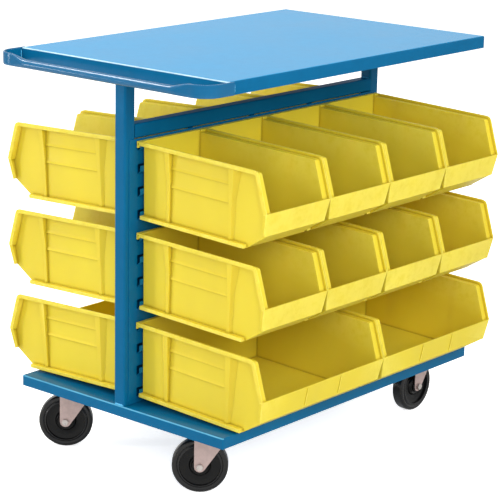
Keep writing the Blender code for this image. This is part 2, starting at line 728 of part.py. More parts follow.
def handle_stations():
    """The handle's centre line from the front leg's end to its middle: place, heading and roundness."""
    leg_start = TOP_HANDLE_END + HANDLE_LAP
    bend_x = HANDLE_BAR_X + HANDLE_BEND
    bend_y = -HANDLE_LEG_Y + HANDLE_BEND
    stations = [(leg_start, -HANDLE_LEG_Y, pi, 0.0)]
    for step in range(HANDLE_BEND_STEPS + 1):
        turned = step / HANDLE_BEND_STEPS * pi / 2
        x = bend_x - HANDLE_BEND * sin(turned)
        y = bend_y - HANDLE_BEND * cos(turned)
        stations.append((x, y, pi - turned, 0.0))
    for step in range(1, HANDLE_TAPER_STEPS + 1):
        share = step / HANDLE_TAPER_STEPS
        eased = share * share * (3 - 2 * share)
        stations.append((HANDLE_BAR_X, bend_y + share * HANDLE_TAPER, pi / 2, eased))
    return stations


def between(start, end, share):
    return start + share * (end - start)


def build_handle(cart, paint):
    half = handle_stations()
    mirrored = [(x, -y, pi - heading, round_share) for x, y, heading, round_share in reversed(half)]
    bm = bmesh.new()
    rings = []
    for x, y, heading, round_share in half + mirrored:
        half_thickness = between(HANDLE_FLAT_HALF_THICKNESS, HANDLE_RADIUS, round_share)
        half_height = between(HANDLE_FLAT_HALF_HEIGHT, HANDLE_RADIUS, round_share)
        flat_drop = TOP_SKIRT / 2
        level = TOP_FACE - flat_drop - round_share * (HANDLE_DROP - flat_drop)
        across = Vector((-sin(heading), cos(heading), 0))
        ring = []
        for side in range(HANDLE_SIDES):
            angle = side / HANDLE_SIDES * tau
            place = Vector((x, y, level)) + across * half_thickness * cos(angle)
            place.z += half_height * sin(angle)
            ring.append(bm.verts.new(place))
        rings.append(ring)
    for ring, following in zip(rings, rings[1:]):
        for i in range(HANDLE_SIDES):
            j = (i + 1) % HANDLE_SIDES
            bm.faces.new((ring[i], ring[j], following[j], following[i]))
    bm.faces.new(rings[0])
    bm.faces.new(list(reversed(rings[-1])))
    add_object("push_handle", finished_mesh("push_handle", bm), paint, cart)


def leg_outline(top):
    """A fork leg seen along the axle: rounded round the axle, one edge upright and one slanted."""
    slant_end = Vector((-sin(LEG_SLANT), cos(LEG_SLANT)))
    points = [(LEG_END_RADIUS, top)]
    last_angle = pi + LEG_SLANT
    for step in range(LEG_ARC_STEPS + 1):
        angle = tau - step / LEG_ARC_STEPS * (tau - last_angle)
        points.append((LEG_END_RADIUS * cos(angle), LEG_END_RADIUS * sin(angle)))
    touch = Vector(points[-1])
    run = (LEG_REACH + touch.x) / -slant_end.x
    shoulder = touch + slant_end * run
    points.append((-LEG_REACH, shoulder.y))
    points.append((-LEG_REACH, top))
    return points


def round_outline(radius, sides, centre=0.0):
    return [
        (centre + radius * cos(i / sides * tau), radius * sin(i / sides * tau)) for i in range(sides)
    ]


def fork_channel(trail, crown_top):
    """The folded fork about an axle at a trail along X, open at its ends and below, and its axle holes."""
    floor = -LEG_END_RADIUS - OVERRUN
    channel = [
        (-FORK_OUTER_HALF, floor),
        (-FORK_OUTER_HALF, crown_top),
        (FORK_OUTER_HALF, crown_top),
        (FORK_OUTER_HALF, floor),
        (FORK_INNER_HALF, floor),
        (FORK_INNER_HALF, crown_top - FORK_SHEET),
        (-FORK_INNER_HALF, crown_top - FORK_SHEET),
        (-FORK_INNER_HALF, floor),
    ]
    reach = LEG_REACH + OVERRUN
    folded = prism_mesh("channel", channel, trail - reach, trail + reach, along_x)
    sides = [(trail + u, v) for u, v in leg_outline(crown_top + OVERRUN)]
    half = FORK_OUTER_HALF + OVERRUN
    side_cut = prism_mesh("leg_cut", sides, -half, half, along_y)
    bore = round_outline(AXLE_RADIUS + SEAT_GAP, ROUND_SIDES, trail)
    holes = prism_mesh("axle_hole", bore, -half, half, along_y)
    return folded, [("INTERSECT", side_cut), ("DIFFERENCE", holes)]


def swivel_fork():
    """A swivel fork, its axle SWIVEL_TRAIL from the kingpin, with heights counted from the axle."""
    crown_top = CROWN_TOP - WHEEL_RADIUS
    folded, changes = fork_channel(SWIVEL_TRAIL, crown_top)
    crown = prism_mesh(
        "crown",
        round_outline(CROWN_RADIUS, RACE_SIDES),
        crown_top - FORK_SHEET - PLANE_STEP,
        crown_top - PLANE_STEP,
        along_z,
    )
    pin_hole = prism_mesh(
        "kingpin_hole",
        round_outline(KINGPIN_RADIUS + SEAT_GAP, ROUND_SIDES),
        crown_top - OVERRUN,
        crown_top + OVERRUN,
        along_z,
    )
    changes += [("UNION", crown), ("DIFFERENCE", pin_hole)]
    return with_booleans("swivel_fork", folded, changes)


def rigid_bracket():
    """A rigid caster's fork with its mounting plate, heights counted from the axle."""
    plate_top = CASTER_HEIGHT - SEAT_GAP - WHEEL_RADIUS
    folded, changes = fork_channel(0, plate_top - PLATE_SHEET / 2)
    low_x = -RIGID_PLATE_SHIFT - PLATE_LENGTH / 2
    plan = box_outline(low_x, -PLATE_WIDTH / 2, low_x + PLATE_LENGTH, PLATE_WIDTH / 2)
    plate = prism_mesh("rigid_plate", plan, plate_top - PLATE_SHEET, plate_top, along_z)
    return with_booleans("rigid_bracket", folded, changes + [("UNION", plate)])


def wheel_mesh():
    """A wheel with rounded shoulders and dished sides, one flat of its tread turned down."""
    half = WHEEL_WIDTH / 2
    tread = WHEEL_RADIUS / cos(pi / WHEEL_SIDES)
    bore = BUSH_RADIUS + SEAT_GAP
    hub_half = FORK_INNER_HALF - HUB_CLEARANCE
    web_half = half - WEB_RECESS
    side = [
        (hub_half, bore),
        (hub_half, HUB_RADIUS),
        (web_half, HUB_RADIUS + RIM_STEP),
        (web_half, RIM_INNER_RADIUS),
        (half, RIM_INNER_RADIUS + RIM_STEP),
        (half, tread - TREAD_SHOULDER),
        (half - TREAD_SHOULDER, tread),
    ]
    profile = side + [(-along, radius) for along, radius in reversed(side)]
    return turned_mesh("wheel", profile, WHEEL_SIDES, "Y", phase=-pi / 2 + pi / WHEEL_SIDES)


def bush_mesh():
    half = FORK_INNER_HALF - SEAT_GAP
    bore = AXLE_RADIUS + SEAT_GAP
    profile = [(-half, bore), (-half, BUSH_RADIUS), (half, BUSH_RADIUS), (half, bore)]
    return turned_mesh("bush", profile, ROUND_SIDES, "Y")


def hexagon(radius):
    return round_outline(radius, 6)


def axle_bolt_mesh():
    """A bolt whose head is at +Y, its shank long enough to pass the nut."""
    head_seat = FORK_OUTER_HALF + SEAT_GAP
    shank_end = -head_seat - NUT_HEIGHT - AXLE_END / 2
    shank_round = round_outline(AXLE_RADIUS, ROUND_SIDES)
    shank = prism_mesh("shank", shank_round, shank_end, head_seat + NUT_HEIGHT / 2, along_y)
    head = prism_mesh("head", hexagon(NUT_RADIUS), head_seat, head_seat + NUT_HEIGHT, along_y)
    return with_booleans("axle_bolt", shank, [("UNION", head)])


def axle_nut_mesh():
    seat = -FORK_OUTER_HALF - SEAT_GAP
    nut = prism_mesh("nut", hexagon(NUT_RADIUS), seat - NUT_HEIGHT, seat, along_y)
    bore_round = round_outline(AXLE_RADIUS + SEAT_GAP, ROUND_SIDES)
    bore = prism_mesh("nut_bore", bore_round, seat - NUT_HEIGHT - OVERRUN, seat + OVERRUN, along_y)
    return with_booleans("axle_nut", nut, [("DIFFERENCE", bore)])


def race_mesh():
    """The swivel's ball race, a grooved ring between the plate and the fork's crown."""
    low = CROWN_TOP + SEAT_GAP
    high = low + RACE_HEIGHT
    middle = (low + high) / 2
    profile = [
        (low, RACE_INNER),
        (low, RACE_OUTER),
        (middle, RACE_OUTER - RACE_GROOVE),
        (high, RACE_OUTER),
        (high, RACE_INNER),
    ]
    return turned_mesh("ball_race", profile, RACE_SIDES, "Z")


def kingpin_mesh():
    head_seat = CROWN_TOP - FORK_SHEET - PLANE_STEP - SEAT_GAP
    profile = [
        (CASTER_HEIGHT - SEAT_GAP, 0),
        (CASTER_HEIGHT - SEAT_GAP, KINGPIN_RADIUS),
        (head_seat, KINGPIN_RADIUS),
        (head_seat, KINGPIN_HEAD_RADIUS),
        (head_seat - KINGPIN_HEAD_HEIGHT, KINGPIN_HEAD_RADIUS),
        (head_seat - KINGPIN_HEAD_HEIGHT, 0),
    ]
    return turned_mesh("kingpin", profile, ROUND_SIDES, "Z", solid=True)


def plate_mesh():
    plan = box_outline(-PLATE_LENGTH / 2, -PLATE_WIDTH / 2, PLATE_LENGTH / 2, PLATE_WIDTH / 2)
    plate = prism_mesh("swivel_plate", plan, PLATE_BOTTOM, PLATE_BOTTOM + PLATE_SHEET, along_z)
    hole = prism_mesh(
        "plate_hole",
        round_outline(KINGPIN_RADIUS + SEAT_GAP, ROUND_SIDES),
        PLATE_BOTTOM - OVERRUN,
        CASTER_HEIGHT + OVERRUN,
        along_z,
    )
    return with_booleans("swivel_plate", plate, [("DIFFERENCE", hole)])


def build_casters(cart, zinc, rubber):
    """Swivel casters at the handle end and rigid ones at the far end."""
    wheel = wheel_mesh()
    bush = bush_mesh()
    bolt = axle_bolt_mesh()
    nut = axle_nut_mesh()
    fork = swivel_fork()
    bracket = rigid_bracket()
    plate = plate_mesh()
    race = race_mesh()
    kingpin = kingpin_mesh()
    for side_name, side in (("front", -1), ("back", 1)):
        x = -BASE_LENGTH / 2 + SWIVEL_INSET_X
        y = side * (BASE_WIDTH / 2 - SWIVEL_INSET_Y)
        prefix = f"swivel_{side_name}"
        seat = (x, y, 0)
        add_object(prefix + "_plate", plate, zinc, cart, seat)
        add_object(prefix + "_ball_race", race, zinc, cart, seat)
        add_object(prefix + "_kingpin", kingpin, zinc, cart, seat)
        swivel = add_empty(prefix + "_axis", cart, (x, y, WHEEL_RADIUS), (0, 0, SWIVEL_TURN))
        add_object(prefix + "_fork", fork, zinc, swivel)
        add_running_gear(prefix, swivel, SWIVEL_TRAIL, (wheel, bush, bolt, nut), zinc, rubber)

        x = BASE_LENGTH / 2 - RIGID_INSET_X
        y = side * (BASE_WIDTH / 2 - RIGID_INSET_Y)
        prefix = f"rigid_{side_name}"
        rigid = add_empty(prefix + "_axis", cart, (x, y, WHEEL_RADIUS), (0, 0, RIGID_TURN))
        add_object(prefix + "_bracket", bracket, zinc, rigid)
        add_running_gear(prefix, rigid, 0, (wheel, bush, bolt, nut), zinc, rubber)


def add_running_gear(prefix, carrier, trail, meshes, zinc, rubber):
    """A wheel with its sleeve, bolt and nut, all on one axle."""
    wheel, bush, bolt, nut = meshes
    axle = add_empty(prefix + "_axle", carrier, (trail, 0, 0))
    add_object(prefix + "_wheel", wheel, rubber, axle)
    add_object(prefix + "_axle_sleeve", bush, zinc, axle)
    add_object(prefix + "_axle_bolt", bolt, zinc, axle)
    add_object(prefix + "_axle_nut", nut, zinc, axle)


def main():
    clear_scene()
    paint = make_material("blue_paint", (0.02, 0.16, 0.33), 0.4, 0.0)
    plastic = make_material("yellow_plastic", (0.8, 0.62, 0.05), 0.45, 0.0)
    rubber = make_material("black_rubber", (0.02, 0.02, 0.022), 0.6, 0.0)
    zinc = make_material("zinc_plate", (0.6, 0.57, 0.55), 0.35, 1.0)
    cart = add_empty("cart", location=(CENTRE_SHIFT, 0, 0))
    build_frame(cart, paint)
    build_panels(cart, paint)
    build_handle(cart, paint)
    build_bins(cart, plastic)
    build_casters(cart, zinc, rubber)


main()
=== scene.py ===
"""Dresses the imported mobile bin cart: materials, rounded edges, turned wheels, welds and bolts.

Units are metres, +Z is up, and +X runs along the cart, away from the push handle. Each piece rides a body
of the frame. The end of the script sets the floor, the lamps and the camera.
"""

import json
from math import copysign, cos, pi, radians, sin, tau

import bmesh
import bpy
from mathutils import Matrix, Vector


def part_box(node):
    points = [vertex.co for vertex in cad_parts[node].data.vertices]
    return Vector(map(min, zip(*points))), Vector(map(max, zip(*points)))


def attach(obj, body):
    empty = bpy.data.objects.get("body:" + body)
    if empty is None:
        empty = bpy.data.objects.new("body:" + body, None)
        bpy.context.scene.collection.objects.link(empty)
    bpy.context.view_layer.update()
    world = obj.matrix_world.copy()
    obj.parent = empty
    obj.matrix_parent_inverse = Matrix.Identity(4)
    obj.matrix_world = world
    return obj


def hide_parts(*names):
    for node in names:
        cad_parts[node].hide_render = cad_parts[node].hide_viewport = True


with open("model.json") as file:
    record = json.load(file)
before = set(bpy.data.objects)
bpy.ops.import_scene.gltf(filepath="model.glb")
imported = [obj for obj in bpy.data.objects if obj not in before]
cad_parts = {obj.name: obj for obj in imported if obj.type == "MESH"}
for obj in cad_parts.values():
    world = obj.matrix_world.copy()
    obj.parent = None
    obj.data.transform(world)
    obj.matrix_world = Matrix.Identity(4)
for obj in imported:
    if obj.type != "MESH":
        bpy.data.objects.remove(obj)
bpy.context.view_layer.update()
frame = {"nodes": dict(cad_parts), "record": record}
nodes = frame["nodes"]
record = frame["record"]
behaviour = record["behaviour"]

MM = 0.001
X, Y, Z = range(3)
CASTERS = ("swivel_front", "swivel_back", "rigid_front", "rigid_back")
SLOT_OF = {entry["node"]: entry["material_slot"] for entry in record["subparts"]}
BODY_OF = {node: body for body, members in behaviour["bodies"].items() for node in members}
JOINTS = {joint["name"]: joint for joint in behaviour["joints"]}

# Linear colours
WHITE = (1, 1, 1)
BLACK = (0, 0, 0)
BLUE = (0.002, 0.112, 0.25)
# Painted light: a lighter blue on the worktop's upper face, painted as light falling on the top
PAINTED_LIT_TOP_BLUE = (0.004, 0.29, 0.58)
# Painted highlights along the folds of the worktop and of the deck at the handle end
WORKTOP_FOLD_HIGHLIGHT = (0.62, 0.85, 0.95)
DECK_FOLD_HIGHLIGHT = (0.10, 0.40, 0.60)
# A lighter blue on the weld beads: painted highlight
WELD_HIGHLIGHT_BLUE = (0.05, 0.34, 0.58)
YELLOW = (0.73, 0.576, 0.04)
# Painted shade in the bins' inner corners, beside the ribs and under the rims
YELLOW_PAINTED_SHADE = (0.28, 0.19, 0.006)
# A lighter yellow along the bins' sharp edges, ribs and rims: painted highlight
YELLOW_EDGE_HIGHLIGHT = (0.96, 0.82, 0.16)
TYRE_BLACK = (0.004, 0.004, 0.0042)
# The wheel core darker than the tyre: painted shade in its recessed dish
CORE_BLACK_PAINTED_SHADE = (0.002, 0.002, 0.002)
ZINC = (0.52, 0.395, 0.37)
BRIGHT_ZINC = (0.60, 0.55, 0.52)
FLOOR_GREY = (0.7, 0.7, 0.7)


# Shader nodes

# The part of a noise's range that most of its values are in
NOISE_MIDDLE = (0.3, 0.7)
# How pointed a sharp outer edge is, and how open an inner corner: where its mask starts and is whole
POINTED = (0.515, 0.6)
CORNERED = (0.92, 0.5)
WORN_PATCH_FADE = 0.24
OCCLUSION_SAMPLES = 8


def connect(tree, socket, value):
    """Links another node's output to the socket, or gives the socket a plain value."""
    if isinstance(value, bpy.types.NodeSocket):
        tree.links.new(value, socket)
    elif socket.type == "RGBA":
        socket.default_value = (*value, 1)
    else:
        socket.default_value = value


def add_node(tree, kind, inputs=None, **settings):
    """A node of a kind, with its settings made and its inputs given values or linked."""
    node = tree.nodes.new("ShaderNode" + kind)
    for name, value in settings.items():
        setattr(node, name, value)
    for name, value in (inputs or {}).items():
        connect(tree, node.inputs[name], value)
    return node


def multiply(tree, one, other):
    return add_node(tree, "Math", {0: one, 1: other}, operation="MULTIPLY").outputs["Value"]


def add_mix(tree, share, one, other):
    """Turns one colour into the other by the share."""
    colours = {"Factor": share, "A": one, "B": other}
    return add_node(tree, "Mix", colours, data_type="RGBA").outputs["Result"]


def add_noise(tree, scale, detail=3.0, roughness=0.55, stretch=(1, 1, 1)):
    """Noise in the object's own coordinates, stretched along its axes."""
    place = add_node(tree, "TexCoord").outputs["Object"]
    stretched = add_node(tree, "Mapping", {"Vector": place, "Scale": stretch}).outputs["Vector"]
    form = {"Vector": stretched, "Scale": scale, "Detail": detail, "Roughness": roughness}
    return add_node(tree, "TexNoise", form).outputs["Fac"]


def add_ramp(tree, source, *stops):
    """Blends between two colours, each with its place along the source."""
    ramp = add_node(tree, "ValToRGB", {"Fac": source})
    for element, (place, colour) in zip(ramp.color_ramp.elements, stops):
        element.position = place
        element.color = (*colour, 1)
    return ramp.outputs["Color"]


def shade(colour, factor):
    return tuple(min(1.0, channel * factor) for channel in colour)


def add_drift(tree, source, colour, darkest, lightest, span=NOISE_MIDDLE):
    """The colour, shaded by a factor that runs from darkest to lightest over a span of the noise."""
    return add_ramp(tree, source, (span[0], shade(colour, darkest)), (span[1], shade(colour, lightest)))


def add_range(tree, source, low, high):
    """The noise's middle spread over low to high."""
    start, end = NOISE_MIDDLE
    limits = {"Value": source, "From Min": start, "From Max": end, "To Min": low, "To Max": high}
    return add_node(tree, "MapRange", limits).outputs["Result"]


def add_step(tree, axis, start, end):
    """Rises from 0 to 1 between two places along one of the object's axes."""
    place = add_node(tree, "TexCoord").outputs["Object"]
    along = add_node(tree, "SeparateXYZ", {"Vector": place}).outputs[axis]
    return add_node(tree, "MapRange", {"Value": along, "From Min": start, "From Max": end}).outputs["Result"]


def add_bump(tree, shader, source, strength, height):
    bump = add_node(tree, "Bump", {"Height": source, "Strength": strength, "Distance": height})
    connect(tree, shader.inputs["Normal"], bump.outputs["Normal"])


def add_worn_and_highlit_edges(tree, colour, edge_colour, amount, spread=0.42):
    """The colour, with a lighter one along sharp outer edges, broken up by noise.
    On the paint and the wheels it is wear, on the mouldings a painted highlight.
    """
    pointiness = add_node(tree, "NewGeometry").outputs["Pointiness"]
    edge = add_ramp(tree, pointiness, (POINTED[0], BLACK), (POINTED[1], WHITE))
    speckle = add_noise(tree, scale=45, detail=4, roughness=0.7)
    patch = add_ramp(tree, speckle, (spread, BLACK), (spread + WORN_PATCH_FADE, WHITE))
    return add_mix(tree, multiply(tree, multiply(tree, edge, patch), amount), colour, edge_colour)


def add_painted_corner_shade(tree, colour, shade_colour, amount, reach):
    """The colour, with a darker one in the piece's own inner corners, fading out over the reach: painted
    shade.
    """
    settings = {"samples": OCCLUSION_SAMPLES, "only_local": True}
    openness = add_node(tree, "AmbientOcclusion", {"Distance": reach}, **settings).outputs["AO"]
    corner = add_ramp(tree, openness, (CORNERED[1], WHITE), (CORNERED[0], BLACK))
    return add_mix(tree, multiply(tree, corner, amount), colour, shade_colour)


# Materials

# Where a pan's painted lit top and painted fold highlight fade in, from below the top and from inside the
# end
LIT_TOP_FADE = (1.2 * MM, 0.2 * MM)
FOLD_HIGHLIGHT_FADE_FROM_BELOW = (3.2 * MM, 2.0 * MM)
FOLD_HIGHLIGHT_FADE_FROM_TOP = (0.1 * MM, 0.5 * MM)
FOLD_HIGHLIGHT_FADE_FROM_INSIDE = (4.5 * MM, 3.5 * MM)


def new_material(name, colour, roughness, metallic=0.0, specular=0.5):
    """A Principled material with its node tree and its shader."""
    material = bpy.data.materials.new(name)
    material.use_nodes = True
    tree = material.node_tree
    shader = tree.nodes["Principled BSDF"]
    connect(tree, shader.inputs["Base Color"], colour)
    connect(tree, shader.inputs["Roughness"], roughness)
    connect(tree, shader.inputs["Metallic"], metallic)
    connect(tree, shader.inputs["Specular IOR Level"], specular)
    return material, tree, shader


def add_painted_fold_highlight(tree, paint, pan, fold_highlight):
    """The paint, with a painted highlight along the pan's fold at the handle end, broken up by noise."""
    low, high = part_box(pan)
    below = add_step(tree, "Z", *(high[Z] - depth for depth in FOLD_HIGHLIGHT_FADE_FROM_BELOW))
    top = add_step(tree, "Z", *(high[Z] - depth for depth in FOLD_HIGHLIGHT_FADE_FROM_TOP))
    inside = add_step(tree, "X", *(low[X] + depth for depth in FOLD_HIGHLIGHT_FADE_FROM_INSIDE))
    patch = add_range(tree, add_noise(tree, scale=14, detail=3), 0.7, 1.0)
    share = multiply(tree, multiply(tree, below, top), multiply(tree, inside, patch))
    return add_mix(tree, share, paint, fold_highlight)


def powder_coat(name, colour, specular=0.1, roughness=0.24, pan=None, lit_top=None, fold_highlight=None):
    """Powder coat: a fine orange peel, a slow drift of colour and gloss, and lighter worn edges.
    A folded pan can have a lighter colour on its upper face, painted as light falling on the top,
    and a painted highlight along its fold."""
    material, tree, shader = new_material(name, colour, roughness, specular=specular)
    slow = add_noise(tree, scale=6, detail=2)
    paint = add_drift(tree, slow, colour, darkest=0.94, lightest=1.06)
    if lit_top:
        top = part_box(pan)[1][Z]
        on_top = add_step(tree, "Z", *(top - depth for depth in LIT_TOP_FADE))
        paint = add_mix(tree, on_top, paint, add_drift(tree, slow, lit_top, darkest=0.97, lightest=1.03))
    if fold_highlight:
        paint = add_painted_fold_highlight(tree, paint, pan, fold_highlight)
    paint = add_worn_and_highlit_edges(tree, paint, edge_colour=shade(colour, 1.6), amount=0.5)
    connect(tree, shader.inputs["Base Color"], paint)
    connect(tree, shader.inputs["Roughness"], add_range(tree, slow, roughness - 0.01, roughness + 0.02))
    add_bump(tree, shader, add_noise(tree, scale=900, detail=2), strength=0.12, height=0.2 * MM)
    return material


def moulded_plastic(name, colour, corner, edge_highlight):
    """Polymer: a fine stipple, faint flow marks, painted shade in the corners, a painted highlight along
    the edges, and light through the wall.
    """
    material, tree, shader = new_material(name, colour, roughness=0.42, specular=0.25)
    connect(tree, shader.inputs["Subsurface Weight"], 0.3)
    connect(tree, shader.inputs["Subsurface Scale"], 12 * MM)
    connect(tree, shader.inputs["Subsurface Radius"], (1, 0.75, 0.1))
    slow = add_noise(tree, scale=7, detail=2, roughness=0.5, stretch=(1, 1, 0.35))
    plastic = add_drift(tree, slow, colour, darkest=0.95, lightest=1.04)
    # Painted shade in the inner corners
    plastic = add_painted_corner_shade(tree, plastic, corner, amount=0.5, reach=7 * MM)
    # Painted highlight along the sharp edges
    plastic = add_worn_and_highlit_edges(tree, plastic, edge_highlight, amount=0.6, spread=0.3)
    connect(tree, shader.inputs["Base Color"], plastic)
    connect(tree, shader.inputs["Roughness"], add_range(tree, slow, 0.36, 0.5))
    add_bump(tree, shader, add_noise(tree, scale=1400, detail=2), strength=0.15, height=0.15 * MM)
    return material


def wheel_polymer(name, colour, specular, roughness=0.2):
    """Hard black wheel: satin, with a drift of dust and small scuffs."""
    material, tree, shader = new_material(name, colour, roughness, specular=specular)
    slow = add_noise(tree, scale=30, detail=4)
    polymer = add_drift(tree, slow, colour, darkest=1.0, lightest=1.7, span=(0.35, 0.75))
    polymer = add_worn_and_highlit_edges(tree, polymer, edge_colour=shade(colour, 6), amount=0.7)
    connect(tree, shader.inputs["Base Color"], polymer)
    connect(tree, shader.inputs["Roughness"], add_range(tree, slow, roughness - 0.05, roughness + 0.1))
    add_bump(tree, shader, add_noise(tree, scale=500, detail=3), strength=0.2, height=0.3 * MM)
    return material


def zinc_steel(name, colour, roughness, metallic):
    """Zinc-plated steel: soft spangle and small scratches."""
    material, tree, shader = new_material(name, colour, roughness, metallic)
    spangle = add_noise(tree, scale=60, detail=4, roughness=0.7)
    scratches = add_noise(tree, scale=700, detail=3, roughness=0.6, stretch=(1, 1, 6))
    connect(tree, shader.inputs["Base Color"], add_drift(tree, spangle, colour, darkest=0.85, lightest=1.12))
    connect(tree, shader.inputs["Roughness"], add_range(tree, spangle, roughness - 0.08, roughness + 0.12))
    add_bump(tree, shader, scratches, strength=0.1, height=0.1 * MM)
    return material


MATERIALS = {
    "blue_paint": powder_coat("blue_powder_coat", BLUE),
    "yellow_plastic": moulded_plastic("yellow_moulding", YELLOW, YELLOW_PAINTED_SHADE, YELLOW_EDGE_HIGHLIGHT),
    "black_rubber": wheel_polymer("black_tyre", TYRE_BLACK, specular=0.45),
    "zinc_plate": zinc_steel("zinc_plated_steel", ZINC, roughness=0.36, metallic=0.5),
}
WORKTOP_PAINT = powder_coat(
    "blue_powder_coat_worktop", BLUE, specular=0.07, pan="worktop", lit_top=PAINTED_LIT_TOP_BLUE, fold_highlight=WORKTOP_FOLD_HIGHLIGHT
)
DECK_PAINT = powder_coat("blue_powder_coat_deck", BLUE, pan="base_deck", fold_highlight=DECK_FOLD_HIGHLIGHT)
HANDLE_PAINT = powder_coat("blue_powder_coat_handle", BLUE, specular=0.34, roughness=0.15)
POST_PAINT = powder_coat("blue_powder_coat_posts", BLUE, specular=0.08, roughness=0.3)
RAIL_PAINT = powder_coat("blue_powder_coat_rail", BLUE, specular=0.02, roughness=0.4)
WELD_PAINT = powder_coat("blue_powder_coat_welds", WELD_HIGHLIGHT_BLUE, specular=0.6, roughness=0.15)
BOLT_PLATING = zinc_steel("bright_zinc_bolts", BRIGHT_ZINC, roughness=0.28, metallic=0.9)
# A darker black for the wheel core: painted shade in the dish
WHEEL_CORE = wheel_polymer("black_wheel_core", CORE_BLACK_PAINTED_SHADE, specular=0.25)


# Pieces

MERGE_DISTANCE = 0.01 * MM
SPIN_MERGE_DISTANCE = 0.001 * MM
FLAT_ANGLE = radians(0.6)
SHARP_ANGLE = radians(38)
ROUNDED_ANGLE = radians(30)
# An edge is on the side of its node's box within the touch, and a main edge from this length up
TOUCH = 0.1 * MM
MAIN_LENGTH = 10 * MM


def add_piece(name, mesh, slot, body, stands_for=None, material=None):
    """An object that rides a body and, where it stands for a node, replaces it."""
    piece = bpy.data.objects.new(name, mesh)
    bpy.context.scene.collection.objects.link(piece)
    mesh.materials.clear()
    mesh.materials.append(material or MATERIALS[slot])
    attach(piece, body)
    if stands_for:
        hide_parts(stands_for)
    return piece


def mesh_of(name, bm):
    """The finished mesh, smooth except at its sharp edges."""
    bmesh.ops.recalc_face_normals(bm, faces=bm.faces)
    mesh = bpy.data.meshes.new(name)
    bm.to_mesh(mesh)
    bm.free()
    imported = mesh.attributes.get("custom_normal")
    if imported:
        mesh.attributes.remove(imported)
    mesh.shade_smooth()
    mesh.set_sharp_from_angle(angle=SHARP_ANGLE)
    return mesh


def cleaned_copy(node):
    """The node's mesh with its flat faces whole again."""
    bm = bmesh.new()
    bm.from_mesh(nodes[node].data)
    bmesh.ops.remove_doubles(bm, verts=bm.verts, dist=MERGE_DISTANCE)
    bmesh.ops.dissolve_limit(bm, angle_limit=FLAT_ANGLE, verts=bm.verts, edges=bm.edges)
    return bm


def round_edges(piece, width, segments=2, by_weight=False):
    """Rounds the piece's sharp edges, or each edge by its own weight, and evens out the shading."""
    rounding = piece.modifiers.new("rounded_edges", "BEVEL")
    rounding.width = width
    rounding.segments = segments
    rounding.limit_method = "WEIGHT" if by_weight else "ANGLE"
    rounding.angle_limit = ROUNDED_ANGLE
    rounding.use_clamp_overlap = not by_weight
    rounding.loop_slide = False
    shading = piece.modifiers.new("even_shading", "WEIGHTED_NORMAL")
    shading.keep_sharp = False


def add_dressed(node, bm, material):
    """The piece that takes the node's place, with its slot and on its body."""
    name = node + "_dressed"
    return add_piece(name, mesh_of(name, bm), SLOT_OF[node], BODY_OF[node], node, material)


def dress(node, radius, material=None):
    """A copy of the node with all its sharp edges rounded alike."""
    round_edges(add_dressed(node, cleaned_copy(node), material), radius)


def dress_folded(node, along, wide, fine, material, folded_top=False):
    """A copy of the node with a wide radius on its outer edges along one axis and a fine one elsewhere.
    With a folded top, the upper face's edges have the wide radius too."""
    bm = cleaned_copy(node)
    low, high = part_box(node)
    across = [axis for axis in (X, Y, Z) if axis != along]
    weight = bm.edges.layers.float.new("bevel_weight_edge")
    for edge in bm.edges:
        start, end = (vertex.co for vertex in edge.verts)
        is_outer = all(
            min(abs(point[axis] - low[axis]), abs(point[axis] - high[axis])) < TOUCH
            for point in (start, end)
            for axis in across
        )
        is_main = is_outer and abs(start[along] - end[along]) > MAIN_LENGTH
        is_upper = folded_top and all(abs(point.z - high[Z]) < TOUCH for point in (start, end))
        edge[weight] = 1.0 if is_main or is_upper else fine / wide
    round_edges(add_dressed(node, bm, material), wide, segments=4, by_weight=True)


def turned(name, profile, sides, axis, centre, slot, body, stands_for=None, material=None):
    """A closed profile of points (distance along the axis, radius), turned about the axis."""
    bm = bmesh.new()
    axis = Vector(axis).normalized()
    centre = Vector(centre)
    across = axis.orthogonal().normalized()
    points = [bm.verts.new(centre + axis * along + across * radius) for along, radius in profile]
    edges = [bm.edges.new(pair) for pair in zip(points, points[1:] + points[:1])]
    bmesh.ops.spin(bm, geom=points + edges, cent=centre, axis=axis, angle=tau, steps=sides, use_merge=True)
    bmesh.ops.remove_doubles(bm, verts=bm.verts, dist=SPIN_MERGE_DISTANCE)
    return add_piece(name, mesh_of(name, bm), slot, body, stands_for, material)


def lofted(rings):
    """A solid through rings of points, closed at both ends."""
    bm = bmesh.new()
    rings = [[bm.verts.new(point) for point in ring] for ring in rings]
    for ring, following in zip(rings, rings[1:]):
        for k in range(len(ring)):
            after = (k + 1) % len(ring)
            bm.faces.new((ring[k], ring[after], following[after], following[k]))
    bm.faces.new(rings[0])
    bm.faces.new(list(reversed(rings[-1])))
    return bm


def circle_points(centre, side, up, radius, count):
    """Points round a circle in the plane of side and up."""
    turns = [k / count * tau for k in range(count)]
    return [centre + (side * cos(turn) + up * sin(turn)) * radius for turn in turns]


# Wheels: a tyre with a raised bead at its inner edge, and a dished core with a stepped hub


def arc(centre, radius, start, end, steps):
    """Points round an arc in a profile's own plane, angles in degrees."""
    turns = [radians(start + (end - start) * step / steps) for step in range(steps + 1)]
    return [(centre[0] + radius * cos(turn), centre[1] + radius * sin(turn)) for turn in turns]


